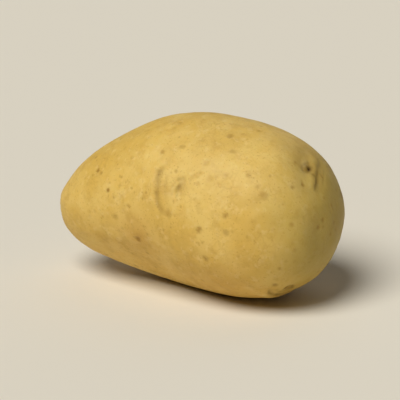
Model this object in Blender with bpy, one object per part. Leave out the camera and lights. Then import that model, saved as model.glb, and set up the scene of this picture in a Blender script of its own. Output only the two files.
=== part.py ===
"""A yellow table potato: one solid, lying on its small flat spot.

Frame, in metres: +X runs from the narrow stem end to the blunt bud end, +Y to the back and +Z up.
The origin is the middle of the footprint's box, at the level of the flat spot.

A place on the skin is a station and a clock angle. The station runs along the potato, from -1 at the
stem end to 1 at the bud end. The clock angle runs round it: 0 is the top, 90 the front, 180 the
underside and 270 the back.
"""
import math

import bmesh
import bpy
from mathutils import Matrix, Vector

MM = 0.001

# The body: overall size before it is tilted and its flat spot is cut
LENGTH = 112.0 * MM
WIDTH = 63.0 * MM
HEIGHT = 62.5 * MM

# How the section changes along the body, as shares of the section at mid length
TAPER_SIDE = 0.33
TAPER_UP = 0.19
END_FULLNESS = 0.10

# How the body bends: its middle line bows upward and towards the back, and its upper side has a hump
BOW_UP = 2.0 * MM
BOW_SIDE = 3.2 * MM
HUMP_RISE = 3.7 * MM
HUMP_STATION = -0.13
HUMP_REACH = 0.45

# Broad swellings, or hollows where the height is negative: station, clock, reach in degrees, height
SWELLINGS = (
    (-0.26, 136, 25, -3.9 * MM),    # flattened side low on the front
    (0.59, 134, 34, 3.6 * MM),      # heel low on the front of the bud end
    (0.15, 262, 26, -1.6 * MM),     # dent in the back
    (-0.45, 292, 24, 1.4 * MM),     # swelling beside it
)

# The eyes follow one spiral round the potato and come closer together towards the bud end.
# Each eye's angle from the bud end is this share of the one before it.
EYES_BEFORE_FRONT = 2
EYES_AFTER_FRONT = 5
FRONT_EYE_ANGLE = 84.5
FRONT_EYE_CLOCK = 65.0
EYE_CROWDING = 0.73
EYE_DIVERGENCE = 137.5

# One eye: a shallow dish with a brow, a low ridge round the side of it that faces the stem end
EYE_LENGTH = 4.4 * MM
EYE_WIDTH = 6.6 * MM
EYE_DEPTH = 1.1 * MM
BROW_HEIGHT = 0.4 * MM
BROW_OFFSET = 8.5 * MM
BROW_THICKNESS = 3.0 * MM
BROW_WIDTH = 9.5 * MM
BROW_CURVE = 0.030 / MM

# No eye reaches skin that lies further than this below the eye's middle, round the body's side
EYE_EDGE_DROP = 20.0 * MM

# The scar where the stem broke off, at the very end
STEM_SCAR_REACH = 4.0 * MM
STEM_SCAR_DEPTH = 1.2 * MM

# How it lies: tilted with the narrow end down, on a spot pressed this far into the lowest point
REST_TILT = math.radians(4.2)
FLAT_DEPTH = 0.8 * MM

# Cells along each side of the six-sided grid that covers the skin
SKIN_GRID = 26

SKIN_COLOUR = "#D8B65C"
SKIN_ROUGHNESS = 0.5


def linear_colour(code):
    """The scene colour of an sRGB hex code."""
    channels = [int(code[start:start + 2], 16) / 255 for start in (1, 3, 5)]
    linear = [c / 12.92 if c <= 0.04045 else ((c + 0.055) / 1.055) ** 2.4 for c in channels]
    return (*linear, 1.0)


def bell(distance):
    """A smooth bump, 1 at the middle and close to 0 from a distance of 2."""
    return math.exp(-distance * distance)


def direction(station, clock):
    """The unit vector from the potato's middle towards a station and a clock angle in degrees."""
    around = math.radians(clock)
    radius = math.sqrt(1 - station * station)
    return Vector((station, -radius * math.sin(around), radius * math.cos(around)))


def body_point(way):
    """The smooth body where a unit vector leaves it: its station is the vector's x."""
    station = way.x
    end_fullness = 1 + END_FULLNESS * station ** 2
    middle = 1 - station ** 2
    upper_share = (1 + way.z) / 2
    hump = HUMP_RISE * upper_share * bell((station - HUMP_STATION) / HUMP_REACH)
    point = Vector((
        LENGTH / 2 * station,
        WIDTH / 2 * way.y * (end_fullness + TAPER_SIDE * station) + BOW_SIDE * middle,
        HEIGHT / 2 * way.z * (end_fullness + TAPER_UP * station) + BOW_UP * middle + hump,
    ))
    for place, clock, reach, height in SWELLINGS:
        angle = way.angle(direction(place, clock))
        point += way * height * bell(angle / math.radians(reach))
    return point


def outward(way):
    """The way the skin faces, close to the body's normal."""
    return Vector((way.x / LENGTH, way.y / WIDTH, way.z / HEIGHT)).normalized()


def eye_ways():
    """One unit vector for each eye, along the spiral from the stem end to the bud end."""
    ways = []
    for step in range(-EYES_BEFORE_FRONT, EYES_AFTER_FRONT + 1):
        station = math.cos(math.radians(FRONT_EYE_ANGLE * EYE_CROWDING ** step))
        ways.append(direction(station, FRONT_EYE_CLOCK - EYE_DIVERGENCE * step))
    return ways


def eye_relief(offset, eye_way):
    """How far one eye lifts the skin, or sinks it, at an offset from its middle."""
    facing = outward(eye_way)
    if offset.dot(facing) < -EYE_EDGE_DROP:
        return 0.0
    along = Vector((1, 0, 0)) - facing * facing.x
    along.normalize()
    across = facing.cross(along)
    forward = offset.dot(along)
    side = offset.dot(across)
    dish = bell(forward / EYE_LENGTH) * bell(side / EYE_WIDTH)
    crest = forward + BROW_OFFSET - BROW_CURVE * side ** 2
    brow = bell(crest / BROW_THICKNESS) * bell(side / BROW_WIDTH)
    return BROW_HEIGHT * brow - EYE_DEPTH * dish


def skin_point(way, eyes):
    """The skin where a unit vector leaves it, with the eyes and the stem scar sunk in."""
    point = body_point(way)
    lift = sum(eye_relief(point - middle, eye_way) for eye_way, middle in eyes)
    scar = (point - body_point(Vector((-1, 0, 0)))).length / STEM_SCAR_REACH
    return point + outward(way) * (lift - STEM_SCAR_DEPTH * bell(scar))


def rounded_cube():
    """A unit sphere made of six square grids with cells of about equal size."""
    ball = bmesh.new()
    bmesh.ops.create_cube(ball, size=2)
    bmesh.ops.subdivide_edges(ball, edges=ball.edges, cuts=SKIN_GRID - 1, use_grid_fill=True)
    for corner in ball.verts:
        corner.co = Vector([math.tan(part * math.pi / 4) for part in corner.co]).normalized()
    return ball


def set_down(potato):
    """Tilt the potato, press its flat spot, and stand that on the floor about the origin."""
    bmesh.ops.rotate(potato, verts=potato.verts, matrix=Matrix.Rotation(-REST_TILT, 3, "Y"))
    floor = min(corner.co.z for corner in potato.verts) + FLAT_DEPTH
    everything = potato.verts[:] + potato.edges[:] + potato.faces[:]
    cut = bmesh.ops.bisect_plane(
        potato, geom=everything, plane_co=(0, 0, floor), plane_no=(0, 0, -1), clear_outer=True)
    rim = [item for item in cut["geom_cut"] if isinstance(item, bmesh.types.BMEdge)]
    bmesh.ops.edgeloop_fill(potato, edges=rim)
    lengthways = [corner.co.x for corner in potato.verts]
    sideways = [corner.co.y for corner in potato.verts]
    middle_x = (min(lengthways) + max(lengthways)) / 2
    middle_y = (min(sideways) + max(sideways)) / 2
    bmesh.ops.translate(potato, verts=potato.verts, vec=(-middle_x, -middle_y, -floor))


def potato_mesh():
    """The potato's closed mesh, set down in its resting place."""
    potato = rounded_cube()
    eyes = [(way, body_point(way)) for way in eye_ways()]
    for corner in potato.verts:
        corner.co = skin_point(corner.co.copy(), eyes)
    set_down(potato)
    bmesh.ops.recalc_face_normals(potato, faces=potato.faces)
    mesh = bpy.data.meshes.new("potato")
    potato.to_mesh(mesh)
    potato.free()
    mesh.shade_smooth()
    return mesh


def skin_material():
    """Thin dry yellow potato skin, brushed clean."""
    skin = bpy.data.materials.new("potato_skin")
    skin.use_nodes = True
    surface = skin.node_tree.nodes["Principled BSDF"]
    surface.inputs["Base Color"].default_value = linear_colour(SKIN_COLOUR)
    surface.inputs["Roughness"].default_value = SKIN_ROUGHNESS
    surface.inputs["Metallic"].default_value = 0.0
    return skin


def main():
    for old in list(bpy.data.objects):
        bpy.data.objects.remove(old, do_unlink=True)
    mesh = potato_mesh()
    mesh.materials.append(skin_material())
    bpy.context.scene.collection.objects.link(bpy.data.objects.new("potato", mesh))


main()
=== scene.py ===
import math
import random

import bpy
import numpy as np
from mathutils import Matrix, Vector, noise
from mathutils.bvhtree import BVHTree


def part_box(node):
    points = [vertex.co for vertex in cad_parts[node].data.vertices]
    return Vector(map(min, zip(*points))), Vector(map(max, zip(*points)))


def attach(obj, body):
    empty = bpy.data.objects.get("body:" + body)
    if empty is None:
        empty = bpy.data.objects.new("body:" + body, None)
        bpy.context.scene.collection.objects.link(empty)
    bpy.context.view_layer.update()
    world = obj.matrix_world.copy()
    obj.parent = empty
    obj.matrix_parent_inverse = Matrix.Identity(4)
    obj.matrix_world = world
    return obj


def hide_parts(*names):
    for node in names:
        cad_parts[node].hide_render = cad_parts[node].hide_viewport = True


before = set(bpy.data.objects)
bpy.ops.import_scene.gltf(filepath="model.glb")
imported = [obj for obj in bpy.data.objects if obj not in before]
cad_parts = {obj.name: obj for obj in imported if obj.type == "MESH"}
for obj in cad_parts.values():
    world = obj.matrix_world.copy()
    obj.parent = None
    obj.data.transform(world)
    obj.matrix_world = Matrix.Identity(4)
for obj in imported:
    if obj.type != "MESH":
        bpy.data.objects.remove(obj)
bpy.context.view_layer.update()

# A whole yellow table potato, washed and dry, lying on the flattest part of its skin.
#
# The skin is laid over the frame's solid as a fine even grid, smoothed, and then worked in millimetres:
# soft lumps, eyes with their brows and buds, the stem scar, pores, freckles and scuffs. Each kind of
# mark is kept on the skin as a strength from 0 to 1, and the material paints from those strengths.
#
# A place on the skin is a station and a clock angle. The station runs along the potato, from -1 at the
# stem end to 1 at the bud end. The clock angle runs round it: 0 is the top, 90 the front, 180 the
# underside and 270 the back.

MM = 0.001

# The skin's grid: cells along each side of its six faces, and how many rounds even it out
SKIN_CELLS = 128
SMOOTHING_ROUNDS = 70

# The bare edge round each chart of the flat sheet that the skin is baked on, as a share of the chart
CHART_EDGE = 0.02

# Heights above the table, in mm: below the first a corner lies on it, and from the second up the work on
# the skin has its full depth
ON_TABLE = 0.01
CLEAR_OF_TABLE = 1.5

# Corners more than this many mm below a patch's middle are on the far side of the potato. They are put out
# of reach by adding this many mm to their distances.
FAR_SIDE = 15.0
OUT_OF_REACH = 1000.0

# The noise: how fast its octaves fade, how many times finer each one is than the last, and how many it has
NOISE_FADE = 0.8
NOISE_STEP = 2.1
NOISE_OCTAVES = 2

# The power that keeps a shape even over its middle and steep at its edge
EVEN_TOP = 4

# The marks that the material paints from
MARKS = ("crease", "bud", "pit", "pale", "freckle", "pore", "scuff",
         "olive", "low_brown_patch", "painted_sheen", "cork")


def linear_colour(code):
    """The scene colour of an sRGB hex code."""
    channels = [int(code[start:start + 2], 16) / 255 for start in (1, 3, 5)]
    linear = [c / 12.92 if c <= 0.04045 else ((c + 0.055) / 1.055) ** 2.4 for c in channels]
    return (*linear, 1.0)


def bell(distance):
    """A smooth bump, 1 at the middle and close to 0 from a distance of 2."""
    return np.exp(-distance * distance)


def ridge(distance, middle, width):
    """A smooth ridge, 1 at its middle and close to 0 from two widths to either side of it."""
    return bell((distance - middle) / width)


def oval(forward, side, length, width):
    """A smooth oval bump, 1 at its middle and close to 0 from two lengths or two widths away."""
    return bell(np.hypot(forward / length, side / width))


def patchy(values, middle, swing):
    """A strength from 0 to 1 that noise raises and lowers from place to place."""
    return np.clip(middle + swing * values, 0, 1)


# ---------------------------------------------------------------- the skin's grid


def cube_lattice(cells):
    """The whole-number points on the outside of a cube, and the squares between them, facing out.

    The third list places each square's corners on a flat sheet, for baking: three charts by two.
    """
    numbers = {}
    squares = []
    sheet = []
    for axis in range(3):
        for upper in (0, 1):
            for row in range(cells):
                for column in range(cells):
                    ring = [(row, column), (row + 1, column), (row + 1, column + 1), (row, column + 1)]
                    if not upper:
                        ring.reverse()
                    square = []
                    for first, second in ring:
                        point = [0, 0, 0]
                        point[axis] = upper * cells
                        point[(axis + 1) % 3] = first
                        point[(axis + 2) % 3] = second
                        square.append(numbers.setdefault(tuple(point), len(numbers)))
                        inset = [CHART_EDGE + (1 - 2 * CHART_EDGE) * step / cells
                                 for step in (first, second)]
                        sheet.append(((axis + inset[0]) / 3, (upper + inset[1]) / 2))
                    squares.append(square)
    return np.array(list(numbers)), np.array(squares), np.array(sheet)


class Skin:
    """The potato's skin while it is worked: its corners in metres, and marks from 0 to 1."""

    def __init__(self, node):
        low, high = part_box(node)
        self.middle = (np.array(low) + np.array(high)) / 2
        self.half = (np.array(high) - np.array(low)) / 2
        steps, self.faces, self.sheet = cube_lattice(SKIN_CELLS)
        # The tangent spaces the corners more evenly round the potato
        ways = np.tan((steps / SKIN_CELLS * 2 - 1) * math.pi / 4)
        ways /= np.linalg.norm(ways, axis=1)[:, None]
        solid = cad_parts[node].data
        corners = [corner.co for corner in solid.vertices]
        tree = BVHTree.FromPolygons(corners, [tuple(face.vertices) for face in solid.polygons])
        start = Vector(self.middle)
        self.points = np.array([tree.ray_cast(start, Vector(way * self.half))[0] for way in ways])
        pairs = np.concatenate([self.faces[:, [0, 1]], self.faces[:, [1, 2]],
                                self.faces[:, [2, 3]], self.faces[:, [3, 0]]])
        self.pairs = np.concatenate([pairs, pairs[:, ::-1]])
        self.marks = {name: np.zeros(len(self.points)) for name in MARKS}
        self.on_table = self.points[:, 2] < ON_TABLE * MM
        self.smooth(SMOOTHING_ROUNDS)
        self.free = np.clip(self.points[:, 2] / (CLEAR_OF_TABLE * MM), 0, 1)

    def gather(self, index, values):
        """Adds up rows of values by corner number."""
        count = len(self.points)
        return np.stack([np.bincount(index, values[:, k], count) for k in range(3)], axis=1)

    def smooth(self, rounds):
        """Moves each corner halfway to the middle of its neighbours, but keeps the flat spot flat."""
        first, second = self.pairs[:, 0], self.pairs[:, 1]
        share = np.bincount(first, minlength=len(self.points))[:, None]
        for _ in range(rounds):
            around = self.gather(first, self.points[second]) / share
            self.points = (self.points + around) / 2
            self.points[self.on_table, 2] = 0.0
        self.face_out()

    def face_out(self):
        """Works out which way each corner faces."""
        a, b, c, d = (self.points[self.faces[:, k]] for k in range(4))
        flat = np.cross(c - a, d - b)
        total = sum(self.gather(self.faces[:, k], flat) for k in range(4))
        self.outward = total / np.linalg.norm(total, axis=1)[:, None]

    def corner_at(self, station, clock):
        """The number of the corner nearest to a place."""
        around = math.radians(clock)
        radius = math.sqrt(1 - station * station)
        way = np.array((station, -radius * math.sin(around), radius * math.cos(around))) * self.half
        way /= np.linalg.norm(way)
        offsets = self.points - self.middle
        return int(np.argmax(offsets @ way / np.linalg.norm(offsets, axis=1)))

    def patch(self, station, clock, turn=0.0):
        """How far each corner is from a place, in mm: towards the bud end, and round the potato.

        The second distance grows as the clock angle falls. Turn swings both directions, in degrees.
        """
        corner = self.corner_at(station, clock)
        facing = self.outward[corner]
        forward = np.array((1.0, 0.0, 0.0)) - facing * facing[0]
        forward /= np.linalg.norm(forward)
        side = np.cross(facing, forward)
        cosine, sine = math.cos(math.radians(turn)), math.sin(math.radians(turn))
        forward, side = forward * cosine + side * sine, side * cosine - forward * sine
        offsets = (self.points - self.points[corner]) / MM
        beyond = OUT_OF_REACH * (offsets @ facing < -FAR_SIDE)
        return offsets @ forward + beyond, offsets @ side + beyond

    def lift(self, amount):
        """Raises each corner along the way it faces, in millimetres, less so close to the table."""
        self.points = self.points + self.outward * (amount * self.free * MM)[:, None]
        self.face_out()

    def mark(self, name, strength):
        """Adds a kind of mark, keeping the stronger of what is there and what is new."""
        self.marks[name] = np.maximum(self.marks[name], np.clip(strength, 0.0, 1.0))

    def grain(self, size, seed):
        """Smooth noise, about -1 to 1, whose largest patches are about size millimetres across."""
        places = self.points / (size * MM) + seed
        return np.array([noise.fractal(Vector(place), NOISE_FADE, NOISE_STEP, NOISE_OCTAVES)
                         for place in places])


# ---------------------------------------------------------------- the work on the skin

# The lumps of the skin, from broad to slight: height in mm, width in mm, noise seed
LUMPS = (
    (0.40, 34, 3.1),
    (0.17, 12, 7.7),
    (0.05, 4.5, 1.3),
)

# How far the skin is drawn in, in mm, so that its lumps stay inside the frame's box
SKIN_INSET = 0.40


def soften_form(skin):
    """The uneven swelling of a grown tuber: broad lumps, and a slight unevenness over them."""
    lumps = sum(height * skin.grain(size=width, seed=seed) for height, width, seed in LUMPS)
    skin.lift(lumps - SKIN_INSET)


# Each eye: station and clock, size, turn in degrees, how far towards the stem its brow folds in mm, how the
# brow bends towards the bud end in 1/mm, how deep its bed is in mm, and how dark its folds are, partly with
# their own brown and partly with painted shade. The mm are those of an eye of size 1.
EYES = (
    (-0.93, 300, 0.60, 10, 6.0, 0.030, 0.3, 0.3),
    (-0.41, 200, 0.85, -15, 9.0, 0.026, 0.3, 0.5),
    (0.07, 64, 1.00, 4, 8.7, 0.026, 0.35, 0.55),
    (0.42, 286, 1.05, -8, 8.5, 0.030, 0.5, 0.8),
    (0.66, 148, 0.90, 12, 7.0, 0.034, 0.4, 0.9),
    (0.80, 14, 0.90, 22, -4.6, 0.004, 0.5, 1.0),
    (0.88, 235, 0.80, 20, 5.5, 0.045, 0.6, 0.9),
)

# One eye of size 1, in mm. Its fold is steep on the brow's side. The trough and the wrinkle run along the
# fold this far ahead of it, towards the bud end, and the brow runs behind it.
FOLD_HALF_LENGTH = 11.0
FOLD_LIP_WIDTH = 0.6
FOLD_WIDTH = 1.5
BROW_AHEAD = -2.3
BROW_WIDTH = 1.9
TROUGH_AHEAD = 2.4
TROUGH_WIDTH = 2.3
WRINKLE_AHEAD = 3.6
WRINKLE_WIDTH = 0.7
WRINKLE_HALF_LENGTH = 5.5
BED_LENGTH = 3.4
BED_WIDTH = 4.6
BUD_LENGTH = 2.0
BUD_WIDTH = 1.15
SIDE_BUD_GAP = 3.0
SIDE_BUD_BEHIND = 0.5
SIDE_BUD_RADIUS = 0.8

# How high or deep the parts of an eye are, in mm. The depth of its bed is in EYES.
BROW_RISE = 0.50
FOLD_DEPTH = 0.45
TROUGH_DEPTH = 0.25
WRINKLE_DEPTH = 0.10
BUD_RISE = 0.35
SIDE_BUD_RISE = 0.18
MOAT_DEPTH = 0.35

# The moat and the brown halo round a bud, as multiples of the bud's own size, how far along the potato the
# moat is brown in mm, and the slanting way that a bud lies
MOAT_RADIUS = 1.55
MOAT_WIDTH = 0.55
HALO_RADIUS = 2.1
BROWN_MOAT_LENGTH = 2.6
BUD_SLANT = (0.55, 0.83)

# How strongly the parts of the brownest eye are marked, and how strongly the bud of the palest
FOLD_BROWN = 0.8
WRINKLE_BROWN = 0.35
SIDE_BUD_BROWN = 0.40
HALO_BROWN = 0.30
PALEST_BUD_BROWN = 0.75

# Wander pushes an eye's lines aside, in mm. The push is full from this many mm out, and has its least share
# at the bud.
EYE_DRIFT = 0.8
EYE_DRIFT_REACH = 8
EYE_DRIFT_LEAST = 0.3

# Wander also breaks up a fold, but leaves at least this share of it
FOLD_LEAST = 0.1


def sink_eye(skin, wander, station, clock, size, turn, brow_gap, brow_bend, depth, eye_darkness):
    """An eye: a brow that folds over a crease, a shallow bed, and a bud with a smaller one each side.

    Wander is slow noise that bends the eye's lines and breaks up its creases.
    """
    forward, side = skin.patch(station, clock, turn)
    push = np.clip(np.hypot(forward, side) / EYE_DRIFT_REACH, EYE_DRIFT_LEAST, 1)
    drift = push * EYE_DRIFT * wander
    forward = forward / size + drift
    side = side / size - drift

    crest = forward + brow_gap - brow_bend * side ** 2
    length = np.clip(1 - (side / FOLD_HALF_LENGTH) ** EVEN_TOP, 0, 1)
    broken = length * np.maximum(patchy(wander, middle=0.62, swing=0.8), FOLD_LEAST)
    fold = bell(crest / np.where(crest < 0, FOLD_LIP_WIDTH, FOLD_WIDTH)) * broken
    brow = ridge(crest, BROW_AHEAD, BROW_WIDTH) * length
    trough = ridge(crest, TROUGH_AHEAD, TROUGH_WIDTH) * length
    wrinkle = ridge(crest, WRINKLE_AHEAD, WRINKLE_WIDTH) * broken * bell(side / WRINKLE_HALF_LENGTH)

    slant = BUD_SLANT[0] * forward + BUD_SLANT[1] * side
    across = BUD_SLANT[1] * forward - BUD_SLANT[0] * side
    reach = np.hypot(slant / BUD_LENGTH, across / BUD_WIDTH)
    bed = oval(forward, side, BED_LENGTH, BED_WIDTH)
    bud = bell(reach)
    moat = ridge(reach, MOAT_RADIUS, MOAT_WIDTH)
    side_buds = oval(forward + SIDE_BUD_BEHIND, np.abs(side) - SIDE_BUD_GAP,
                     SIDE_BUD_RADIUS, SIDE_BUD_RADIUS)

    skin.lift(size * (BROW_RISE * brow - FOLD_DEPTH * fold - TROUGH_DEPTH * trough
                      - WRINKLE_DEPTH * wrinkle - depth * bed + BUD_RISE * bud
                      + SIDE_BUD_RISE * side_buds - MOAT_DEPTH * moat))
    # The fold, the wrinkle and the moat round the bud are painted darker, partly with their own brown and
    # partly as painted shade in the fold
    skin.mark("crease", eye_darkness * np.maximum(FOLD_BROWN * fold, WRINKLE_BROWN * wrinkle))
    brown_moat = moat * patchy(wander, middle=0.45, swing=0.9) * bell(forward / BROWN_MOAT_LENGTH)
    skin.mark("crease", eye_darkness * brown_moat)
    bud_brown = PALEST_BUD_BROWN + (1 - PALEST_BUD_BROWN) * eye_darkness
    skin.mark("bud", bud_brown * np.maximum(bud, SIDE_BUD_BROWN * side_buds))
    skin.mark("bud", HALO_BROWN * eye_darkness * bell(reach / HALO_RADIUS))


# The dark pit beside the eye at the bud end: station, clock, and turn in degrees
END_PIT = (0.81, 13, 12)

# What the pit is made of. Each part: how far its middle lies from the pit's towards the bud end and to the
# side, its half-length, its half-width and its height, all in mm, then its mark and how strong that is. A
# strength above 1 widens the darkest part.
# The pit's dark colour is partly the bud's own brown and partly painted shade down the pit, the lip's pale
# colour is partly painted highlight, and the nook has no hollow at all: it is painted shade only
END_PIT_PARTS = {
    "pit": (0.0, 0.0, 0.75, 1.25, -1.0, "pit", 1.1),
    "swollen lip": (-2.4, 0.0, 1.1, 2.6, 0.5, "pale", 0.8),
    "crease": (2.4, -2.2, 1.8, 1.2, -0.25, "crease", 0.5),
    "painted shade in nook": (2.4, 0.0, 2.6, 3.4, 0.0, "crease", 0.32),
}

# How far wander pushes the pit along the potato, in mm
END_PIT_DRIFT = 0.3


def sink_end_pit(skin, wander):
    """The deep narrow pit by the bud end, with a pale swollen lip on its stem side and painted shade in the
    nook beside it.
    """
    forward, side = skin.patch(*END_PIT)
    forward = forward + END_PIT_DRIFT * wander
    lift = np.zeros(len(skin.points))
    for ahead, aside, length, width, height, mark, strength in END_PIT_PARTS.values():
        part = oval(forward - ahead, side - aside, length, width)
        lift += height * part
        skin.mark(mark, strength * part)
    skin.lift(lift)


# The freckles that stand out, each with a shallow pit: station, clock, radius in mm, strength from 0 to 1
FRECKLES = (
    (-0.72, 53, 0.9, 0.75),
    (-0.58, 73, 0.8, 0.80),
    (-0.50, 96, 1.3, 0.35),
    (-0.28, 111, 1.2, 0.65),
    (-0.12, 54, 0.8, 0.25),
    (0.02, 35, 1.0, 0.35),
    (0.02, 84, 1.5, 0.35),
    (0.25, 91, 1.2, 0.65),
    (0.28, 110, 1.2, 0.60),
    (0.30, 20, 1.3, 0.45),
    (0.36, 33, 1.2, 0.40),
    (0.41, 79, 1.1, 0.50),
    (0.41, 90, 1.2, 0.40),
    (0.50, 50, 1.0, 0.35),
    (0.60, 62, 1.6, 0.30),
    (0.60, 131, 1.0, 0.60),
    (0.74, 49, 0.8, 0.60),
    (0.80, 42, 0.8, 0.60),
)

# How deep the pit in a freckle of strength 1 is, in mm
FRECKLE_DEPTH = 0.22

# The freckles that are scattered over the back and the underside, with the least and the most of each value
BACK_FRECKLE_COUNT = 34
BACK_FRECKLE_SEED = 5
BACK_FRECKLE_STATIONS = (-0.9, 0.95)
BACK_FRECKLE_CLOCKS = (145, 335)
BACK_FRECKLE_RADII = (0.6, 1.4)
BACK_FRECKLE_STRENGTHS = (0.3, 0.7)

# Small dimples, scattered over the brightest part of the front
DIMPLE_COUNT = 11
DIMPLE_SEED = 3
DIMPLE_STATIONS = (0.15, 0.42)
DIMPLE_CLOCKS = (45, 61)
DIMPLE_RADII = (0.8, 1.2)
DIMPLE_TINT = 0.30

# How deep a dimple sinks in mm, how high the rim round it stands in mm, and how many times as wide it is
DIMPLE_DEPTH = 0.34
DIMPLE_RIM_RISE = 0.14
DIMPLE_RIM_SPREAD = 1.9

# The pores, scattered all over. A pore's strength is the square of a root between these two, so that most
# are faint. Each one stands proud of the skin or is sunk into it by this many mm.
PORE_COUNT = 360
PORE_SEED = 14
PORE_STATIONS = (-0.99, 0.99)
PORE_CLOCKS = (0, 360)
PORE_RADII = (0.40, 0.85)
PORE_STRENGTH_ROOTS = (0.25, 0.85)
PORE_LIFTS = (0.06, -0.12)

# How ragged the edge of a dot is, as a share of its radius, and how much of it is its steep-sided core
DOT_RAGGEDNESS = 0.5
DOT_CORE = 0.75


def dot(skin, ragged, station, clock, radius):
    """A small spot with a ragged edge: 1 at its middle, falling off steeply at its radius."""
    forward, side = skin.patch(station, clock)
    reach = np.clip(np.hypot(forward, side) / radius + DOT_RAGGEDNESS * ragged, 0, None)
    return DOT_CORE * bell(reach ** 2) + (1 - DOT_CORE) * bell(reach)


def freckle_skin(skin, ragged):
    """Brown freckles with a shallow pit in each, and a few faint dimples with a raised rim."""
    back_draw = random.Random(BACK_FRECKLE_SEED)
    scattered = []
    for _ in range(BACK_FRECKLE_COUNT):
        station = back_draw.uniform(*BACK_FRECKLE_STATIONS)
        clock = back_draw.uniform(*BACK_FRECKLE_CLOCKS)
        radius = back_draw.uniform(*BACK_FRECKLE_RADII)
        scattered.append((station, clock, radius, back_draw.uniform(*BACK_FRECKLE_STRENGTHS)))
    lift = np.zeros(len(skin.points))
    for station, clock, radius, strength in (*FRECKLES, *scattered):
        spot = dot(skin, ragged, station, clock, radius)
        skin.mark("freckle", strength * spot)
        lift -= FRECKLE_DEPTH * strength * spot
    dimple_draw = random.Random(DIMPLE_SEED)
    for _ in range(DIMPLE_COUNT):
        station = dimple_draw.uniform(*DIMPLE_STATIONS)
        clock = dimple_draw.uniform(*DIMPLE_CLOCKS)
        radius = dimple_draw.uniform(*DIMPLE_RADII)
        spot = dot(skin, ragged, station, clock, radius)
        skin.mark("pore", DIMPLE_TINT * spot)
        rim = dot(skin, ragged, station, clock, DIMPLE_RIM_SPREAD * radius)
        lift += DIMPLE_RIM_RISE * rim - DIMPLE_DEPTH * spot
    skin.lift(lift)


def scatter_pores(skin, ragged):
    """Lenticels, the pores that a tuber breathes through: small corky dots, some raised and some sunk."""
    draw = random.Random(PORE_SEED)
    lift = np.zeros(len(skin.points))
    for _ in range(PORE_COUNT):
        station = draw.uniform(*PORE_STATIONS)
        clock = draw.uniform(*PORE_CLOCKS)
        radius = draw.uniform(*PORE_RADII)
        strength = draw.uniform(*PORE_STRENGTH_ROOTS) ** 2
        spot = dot(skin, ragged, station, clock, radius)
        skin.mark("pore", strength * spot)
        lift += draw.choice(PORE_LIFTS) * spot
    skin.lift(lift)


# Where the skin was rubbed: station, clock, half-length and half-width in mm, strength from 0 to 1
SCUFFS = (
    (0.69, 2, 8, 8, 0.9),
    (0.78, 46, 4, 3.5, 0.45),
    (-0.80, 250, 8, 6, 0.6),
    (0.10, 300, 13, 7, 0.5),
    (-0.35, 330, 9, 5, 0.35),
    (0.55, 215, 9, 6, 0.5),
)

# How rough the most scuffed skin is, in mm
SCUFF_RELIEF = 0.07


def scuff_skin(skin):
    """Where the skin was rubbed in the ground or the sack: dull, slightly rough, greyish."""
    fine = skin.grain(size=1.6, seed=5.5)
    broad = skin.grain(size=9, seed=2.2)
    for station, clock, length, width, strength in SCUFFS:
        forward, side = skin.patch(station, clock)
        rubbed = oval(forward, side, length, width) * patchy(broad, middle=0.75, swing=0.6)
        skin.mark("scuff", strength * rubbed)
        skin.lift(SCUFF_RELIEF * strength * rubbed * fine)


# The stem scar: its station and clock, and the radii in mm of the plug and of the hollow in it
STEM_SCAR = (-0.97, 167)
PLUG_RADIUS = 2.9
HOLLOW_RADIUS = 1.5

# The rings of the scar: radius and half-width in mm
SPLIT_RING = (1.9, 1.3)
RIM_RING = (3.1, 0.8)
SCUFF_RING = (4.2, 1.8)
PUCKER_RING = (5.2, 2.2)

# How high or deep the parts of the scar are, in mm, and how many splits and puckers run out from its middle
RIM_RISE = 0.40
HOLLOW_DEPTH = 0.8
SPLIT_DEPTH = 0.25
PUCKER_RISE = 0.06
SPLITS = 5
PUCKERS = 11

# How far slow and fine noise push the scar's rings in and out, in mm, how far slow noise turns its splits
# and puckers, in radians, and the power that makes the splits narrow
SCAR_DRIFT = 0.6
SCAR_RAGGEDNESS = 0.35
SCAR_TWIST = 0.5
SPLIT_SHARPNESS = 8

# How strongly the hollow, the splits and the scuffed ring are marked
HOLLOW_BROWN = 0.75
SPLIT_BROWN = 0.7
SCAR_SCUFF = 0.6


def scar_stem(skin, ragged):
    """The corky scar where the stem broke off: a split plug in a raised rim, in puckered skin."""
    forward, side = skin.patch(*STEM_SCAR)
    wander = skin.grain(size=2.5, seed=8.8)
    reach = np.hypot(forward, side) + SCAR_DRIFT * wander + SCAR_RAGGEDNESS * ragged
    around = np.arctan2(side, forward) + SCAR_TWIST * wander
    rim = ridge(reach, *RIM_RING)
    plug = bell((np.clip(reach, 0, None) / PLUG_RADIUS) ** EVEN_TOP)
    hollow = bell(reach / HOLLOW_RADIUS)
    splits = np.clip(np.cos(SPLITS * around), 0, 1) ** SPLIT_SHARPNESS * ridge(reach, *SPLIT_RING)
    pucker = np.cos(PUCKERS * around) * ridge(reach, *PUCKER_RING)
    skin.lift(RIM_RISE * rim - HOLLOW_DEPTH * hollow - SPLIT_DEPTH * splits + PUCKER_RISE * pucker)
    skin.mark("cork", plug)
    skin.mark("crease", np.maximum(HOLLOW_BROWN * hollow, SPLIT_BROWN * splits))
    scuffed = ridge(reach, *SCUFF_RING) * patchy(ragged, middle=0.6, swing=1.0)
    skin.mark("scuff", SCAR_SCUFF * scuffed)


# The olive, partly greening and partly painted shade on the bud end, which is turned away from the key
# light, starts at this station, give or take the drift, and is full this much further on towards the bud
# end. A curve above 1 makes it start more slowly.
OLIVE_START = 0.55
OLIVE_DRIFT = 0.10
OLIVE_RUN = 0.38
OLIVE_CURVE = 1.2

# Browner patches, all on the lower half of the potato: station, clock, reach in mm, strength from 0 to 1
LOW_BROWN_PATCHES = (
    (-0.28, 108, 8, 0.55),
    (0.35, 122, 14, 0.35),
    (-0.7, 200, 12, 0.6),
)

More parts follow.
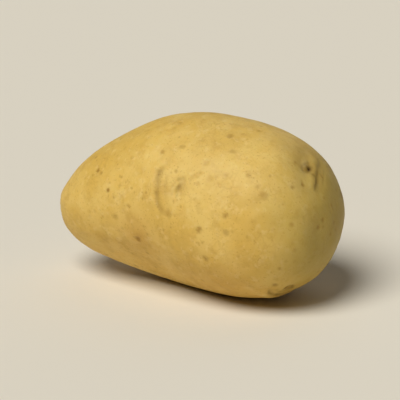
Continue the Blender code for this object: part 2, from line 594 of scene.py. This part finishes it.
# A paler patch painted on the brightest part of the front, as painted sheen: its station and clock, and its
# half-length and half-width in mm
PAINTED_SHEEN = (0.20, 54)
PAINTED_SHEEN_LENGTH = 17
PAINTED_SHEEN_WIDTH = 13


def tint_skin(skin):
    """Olive towards the bud end, partly greening and partly painted shade; browner patches low on the
    potato;
    and a painted sheen, a paler patch on the brightest part of the front.
    """
    station = (skin.points[:, 0] - skin.middle[0]) / skin.half[0]
    drift = skin.grain(size=22, seed=4.4)
    # Olive towards the bud end: partly greening, partly painted shade on the end turned away from the key
    # light
    olive = np.clip((station + OLIVE_DRIFT * drift - OLIVE_START) / OLIVE_RUN, 0, 1)
    skin.mark("olive", olive ** OLIVE_CURVE)
    # Browner patches, all placed on the lower half of the potato
    for position, clock, reach, strength in LOW_BROWN_PATCHES:
        forward, side = skin.patch(position, clock)
        low_brown_patch = oval(forward, side, reach, reach) * patchy(drift, middle=0.7, swing=0.6)
        skin.mark("low_brown_patch", strength * low_brown_patch)
    # Painted sheen: a paler, whiter patch where the key light falls brightest on the front
    forward, side = skin.patch(*PAINTED_SHEEN)
    painted_sheen = oval(forward, side, PAINTED_SHEEN_LENGTH, PAINTED_SHEEN_WIDTH)
    skin.mark("painted_sheen", painted_sheen * patchy(drift, middle=0.75, swing=0.5))


def finished_skin(skin, name):
    """The skin as an object, with its marks stored on its corners and its flat sheet for baking."""
    mesh = bpy.data.meshes.new(name)
    mesh.from_pydata(skin.points.tolist(), [], skin.faces.tolist())
    mesh.shade_smooth()
    for mark, strength in skin.marks.items():
        stored = mesh.attributes.new(mark, "FLOAT", "POINT")
        stored.data.foreach_set("value", strength.astype(np.float32))
    sheet = mesh.uv_layers.new(name="OFBake")
    sheet.uv.foreach_set("vector", skin.sheet.astype(np.float32).ravel())
    made = bpy.data.objects.new(name, mesh)
    bpy.context.scene.collection.objects.link(made)
    return made


# ---------------------------------------------------------------- materials

# A colour Mix node's sockets, which share their names with its number and vector ones
MIX_SHARE, MIX_UNDER, MIX_OVER, MIX_RESULT = 0, 6, 7, 2


def add(tree, kind, inputs, **settings):
    """Adds a node with its settings. Inputs maps a socket to a value or to another node's output."""
    node = tree.nodes.new(kind)
    for name, value in settings.items():
        setattr(node, name, value)
    for socket, value in inputs.items():
        if isinstance(value, bpy.types.NodeSocket):
            tree.links.new(value, node.inputs[socket])
        else:
            node.inputs[socket].default_value = value
    return node


# Cloudy drifts over the skin: size in mm, detail, and the noise levels where they start and are full.
# The specks stand for single clusters of cork cells, drawn several times their size so that they show.
DRIFTS = {
    "honey": (19, 3.0, 0.36, 0.68),
    "gold": (6, 2.0, 0.42, 0.66),
    "straw": (3.2, 2.0, 0.52, 0.72),
    "ochre": (4.6, 3.0, 0.50, 0.72),
    "net": (11, 2.0, 0.48, 0.70),
    "specks": (0.75, 1.0, 0.60, 0.74),
    "satin": (5, 3.0, 0.30, 0.70),
}

# The skin's own colour, and those painted over it in this order: what places each one, its strength, and
# the colour
SKIN_COLOUR = "#E4C26D"
COATS = (
    ("honey", 1.0, "#D6B057"),
    ("gold", 0.5, "#DDB657"),
    ("straw", 0.40, "#EBCE86"),
    ("ochre", 0.42, "#C49C49"),
    # Painted sheen on the brightest part of the front
    ("painted_sheen", 0.30, "#F1D78F"),
    # Partly greening, partly painted shade on the bud end
    ("olive", 0.66, "#AD984B"),
    ("low_brown_patch", 0.50, "#C18A40"),
    ("net lines", 0.22, "#B98D3F"),
    ("specks", 0.38, "#B68A3A"),
    ("scuff", 0.70, "#AE9358"),
    # The end pit's lip: partly its own paler colour, partly painted highlight
    ("pale", 0.60, "#DCC486"),
    ("pore", 0.85, "#A67C30"),
    ("freckle", 1.0, "#8F6519"),
    ("bud", 0.85, "#8F6E2A"),
    ("cork", 0.9, "#94794E"),
    # Folds and hollows: partly their own brown, partly painted shade
    ("crease", 0.95, "#6E4F18"),
    # Partly the bud's own brown, partly painted shade down the pit
    ("pit", 1.0, "#553A0E"),
)

# The netting, in mm: how wide its cells are, how wide the noise that pulls them out of true is, how far it
# pulls, and how high the lines stand. The lines' half-width is a share of a cell.
NET_CELL = 3.0
NET_BEND_SIZE = 2.6
NET_BEND = 4.2
NET_RELIEF = 0.06
NET_LINE = 0.14

# The cork grain, in mm across and in mm high
GRAIN_SIZE = 0.9
GRAIN_RELIEF = 0.12

# How rough the skin is where it is most satin and where it is least so, and where it is dull
SATIN_ROUGHNESS = 0.50
DRY_ROUGHNESS = 0.60
DULL_ROUGHNESS = 0.80

# How far red, green and blue light goes into the pale flesh, as shares of the scatter depth, which is in mm
FLESH_SCATTER = (1.0, 0.6, 0.25)
FLESH_SCATTER_DEPTH = 3.5


def potato_skin_material():
    """Washed yellow potato skin: a thin cork layer over pale flesh, dry and rubbed smooth.

    It gives a satin surface with hardly a highlight, a golden colour that drifts between straw and
    honey, faint netting where the cork is thicker, and brown in pores, freckles and scars. Folds and pits
    are darker, partly with their own brown and partly with painted shade, and the front has a painted
    sheen.
    """
    material = bpy.data.materials.new("washed_potato_skin")
    material.use_nodes = True
    tree = material.node_tree
    surface = tree.nodes["Principled BSDF"]
    place = add(tree, "ShaderNodeTexCoord", {}).outputs["Object"]

    places = {}
    for name in MARKS:
        places[name] = add(tree, "ShaderNodeAttribute", {}, attribute_name=name).outputs["Fac"]
    for name, (size, detail, start, full) in DRIFTS.items():
        cloud = add(tree, "ShaderNodeTexNoise", {
            "Vector": place, "Scale": 1 / (size * MM), "Detail": detail, "Roughness": 0.6})
        drift = add(tree, "ShaderNodeMapRange", {
            "Value": cloud.outputs["Fac"], "From Min": start, "From Max": full},
            interpolation_type="SMOOTHSTEP")
        places[name] = drift.outputs["Result"]

    # The netting's cells are pulled out of true, so that no line runs straight
    bend = add(tree, "ShaderNodeTexNoise", {
        "Vector": place, "Scale": 1 / (NET_BEND_SIZE * MM), "Detail": 3.0})
    pull = add(tree, "ShaderNodeVectorMath", {
        0: bend.outputs["Color"], 1: (NET_BEND * MM,) * 3, 2: place}, operation="MULTIPLY_ADD")
    cells = add(tree, "ShaderNodeTexVoronoi", {
        "Vector": pull.outputs["Vector"], "Scale": 1 / (NET_CELL * MM)}, feature="DISTANCE_TO_EDGE")
    lines = add(tree, "ShaderNodeMapRange", {
        "Value": cells.outputs["Distance"], "From Max": NET_LINE, "To Min": 1.0, "To Max": 0.0})
    net = add(tree, "ShaderNodeMath", {0: lines.outputs["Result"], 1: places["net"]}, operation="MULTIPLY")
    places["net lines"] = net.outputs["Value"]

    colour = linear_colour(SKIN_COLOUR)
    for name, strength, code in COATS:
        share = add(tree, "ShaderNodeMath", {0: places[name], 1: strength}, operation="MULTIPLY")
        coat = add(tree, "ShaderNodeMix", {
            MIX_SHARE: share.outputs["Value"], MIX_UNDER: colour, MIX_OVER: linear_colour(code)},
            data_type="RGBA")
        colour = coat.outputs[MIX_RESULT]
    tree.links.new(colour, surface.inputs["Base Color"])

    # Satin on clean skin, dull in folds and where it is rubbed
    dull = add(tree, "ShaderNodeMath", {0: places["scuff"], 1: places["crease"]}, operation="MAXIMUM")
    satin = add(tree, "ShaderNodeMapRange", {
        "Value": places["satin"], "To Min": SATIN_ROUGHNESS, "To Max": DRY_ROUGHNESS})
    finish = add(tree, "ShaderNodeMapRange", {
        "Value": dull.outputs["Value"], "To Min": satin.outputs["Result"], "To Max": DULL_ROUGHNESS})
    tree.links.new(finish.outputs["Result"], surface.inputs["Roughness"])

    # Relief too fine for the mesh: the cork grain, and the netting's lines
    grain = add(tree, "ShaderNodeTexNoise", {
        "Vector": place, "Scale": 1 / (GRAIN_SIZE * MM), "Detail": 2.0, "Roughness": 0.55})
    grain_relief = add(tree, "ShaderNodeBump", {
        "Strength": 0.5, "Distance": GRAIN_RELIEF * MM, "Height": grain.outputs["Fac"]})
    net_relief = add(tree, "ShaderNodeBump", {
        "Strength": 0.4, "Distance": NET_RELIEF * MM, "Height": places["net lines"],
        "Normal": grain_relief.outputs["Normal"]})
    tree.links.new(net_relief.outputs["Normal"], surface.inputs["Normal"])

    surface.inputs["IOR"].default_value = 1.40
    surface.inputs["Specular IOR Level"].default_value = 0.32
    surface.inputs["Subsurface Weight"].default_value = 0.12
    surface.inputs["Subsurface Radius"].default_value = FLESH_SCATTER
    surface.inputs["Subsurface Scale"].default_value = FLESH_SCATTER_DEPTH * MM
    return material


PAPER_COLOUR = "#E8E2D4"


def studio_paper_material():
    """Matt seamless paper in a warm off-white: pale and even, with no shine."""
    material = bpy.data.materials.new("studio_paper")
    material.use_nodes = True
    surface = material.node_tree.nodes["Principled BSDF"]
    surface.inputs["Base Color"].default_value = linear_colour(PAPER_COLOUR)
    surface.inputs["Roughness"].default_value = 1.0
    surface.inputs["Specular IOR Level"].default_value = 0.0
    return material


# ---------------------------------------------------------------- studio

# Where the lens stands: degrees round from the front towards the bud end, degrees above the table, and
# metres away. The lens itself is in mm.
CAMERA_ROUND = 24.0
CAMERA_UP = 17.0
CAMERA_DISTANCE = 1.0
CAMERA_LENS = 245.0

# How far the floor runs to each side, in metres
FLOOR_HALF_SIDE = 60.0

# Each light: degrees round from the front, degrees up, strength, the angle it fills in degrees, colour
KEY_SOFTBOX = (-14, 55, 2.85, 36, "#FFFDF8")
BACK_SOFTBOX = (185, 38, 0.35, 60, "#FFFDFA")

# The dim light from all round
ROOM_STRENGTH = 0.04
ROOM_COLOUR = "#FAFAFA"

# The lit floor's own colour, so that the floor runs into the backdrop with no line between them
BACKDROP = "#D8D1C0"


def away(round_angle, up_angle):
    """The unit vector from the potato towards an angle round it and an angle above the table."""
    turn, rise = math.radians(round_angle), math.radians(up_angle)
    return Vector((math.sin(turn) * math.cos(rise), -math.cos(turn) * math.cos(rise), math.sin(rise)))


def lay_floor():
    """A large sheet of studio paper, level with the flat spot under the potato."""
    side = FLOOR_HALF_SIDE
    mesh = bpy.data.meshes.new("studio_floor")
    corners = [(-side, -side, 0), (side, -side, 0), (side, side, 0), (-side, side, 0)]
    mesh.from_pydata(corners, [], [(0, 1, 2, 3)])
    mesh.materials.append(studio_paper_material())
    floor = bpy.data.objects.new("studio_floor", mesh)
    bpy.context.scene.collection.objects.link(floor)


def soft_light(name, round_angle, up_angle, strength, spread, code):
    """A wide, even light from one side, as from a large softbox: spread is the angle it fills."""
    lamp = bpy.data.lights.new(name, "SUN")
    lamp.energy = strength
    lamp.angle = math.radians(spread)
    lamp.color = linear_colour(code)[:3]
    made = bpy.data.objects.new(name, lamp)
    made.rotation_mode = "QUATERNION"
    made.rotation_quaternion = away(round_angle, up_angle).to_track_quat("Z", "Y")
    bpy.context.scene.collection.objects.link(made)


def light_studio():
    """A large key light from high on the left, a weaker one from behind, and a dim pale room all round.

    In place of the room, the camera sees a plain backdrop in the colour of the lit floor.
    """
    soft_light("key_softbox", *KEY_SOFTBOX)
    soft_light("back_softbox", *BACK_SOFTBOX)
    world = bpy.data.worlds.new("pale_studio")
    bpy.context.scene.world = world
    world.use_nodes = True
    tree = world.node_tree
    tree.nodes.clear()
    room = add(tree, "ShaderNodeBackground", {
        "Color": linear_colour(ROOM_COLOUR), "Strength": ROOM_STRENGTH})
    backdrop = add(tree, "ShaderNodeBackground", {"Color": linear_colour(BACKDROP), "Strength": 1.0})
    seen = add(tree, "ShaderNodeLightPath", {}).outputs["Is Camera Ray"]
    both = add(tree, "ShaderNodeMixShader", {0: seen, 1: room.outputs[0], 2: backdrop.outputs[0]})
    add(tree, "ShaderNodeOutputWorld", {"Surface": both.outputs[0]})


def place_camera(middle):
    """The lens, aimed at the middle of the potato."""
    lens = bpy.data.cameras.new("camera")
    lens.lens = CAMERA_LENS
    camera = bpy.data.objects.new("camera", lens)
    back = away(CAMERA_ROUND, CAMERA_UP)
    camera.location = Vector(middle) + back * CAMERA_DISTANCE
    camera.rotation_mode = "QUATERNION"
    camera.rotation_quaternion = (-back).to_track_quat("-Z", "Y")
    bpy.context.scene.collection.objects.link(camera)
    bpy.context.scene.camera = camera


# ---------------------------------------------------------------- the potato


def make_potato():
    """The potato's skin, worked and painted, in place of the frame's plain solid."""
    skin = Skin("potato")
    soften_form(skin)
    wander = skin.grain(size=6.0, seed=9.2)
    for eye in EYES:
        sink_eye(skin, wander, *eye)
    sink_end_pit(skin, wander)
    ragged = skin.grain(size=1.7, seed=6.1)
    scar_stem(skin, ragged)
    scuff_skin(skin)
    freckle_skin(skin, ragged)
    scatter_pores(skin, ragged)
    tint_skin(skin)
    # Nothing goes below the table
    skin.points[:, 2] = np.maximum(skin.points[:, 2], 0.0)
    potato = finished_skin(skin, "potato_skin")
    potato.data.materials.append(potato_skin_material())
    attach(potato, "root")
    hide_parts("potato")
    return skin.middle


potato_middle = make_potato()
lay_floor()
light_studio()
place_camera(potato_middle)
bpy.context.scene.view_settings.view_transform = "Standard"
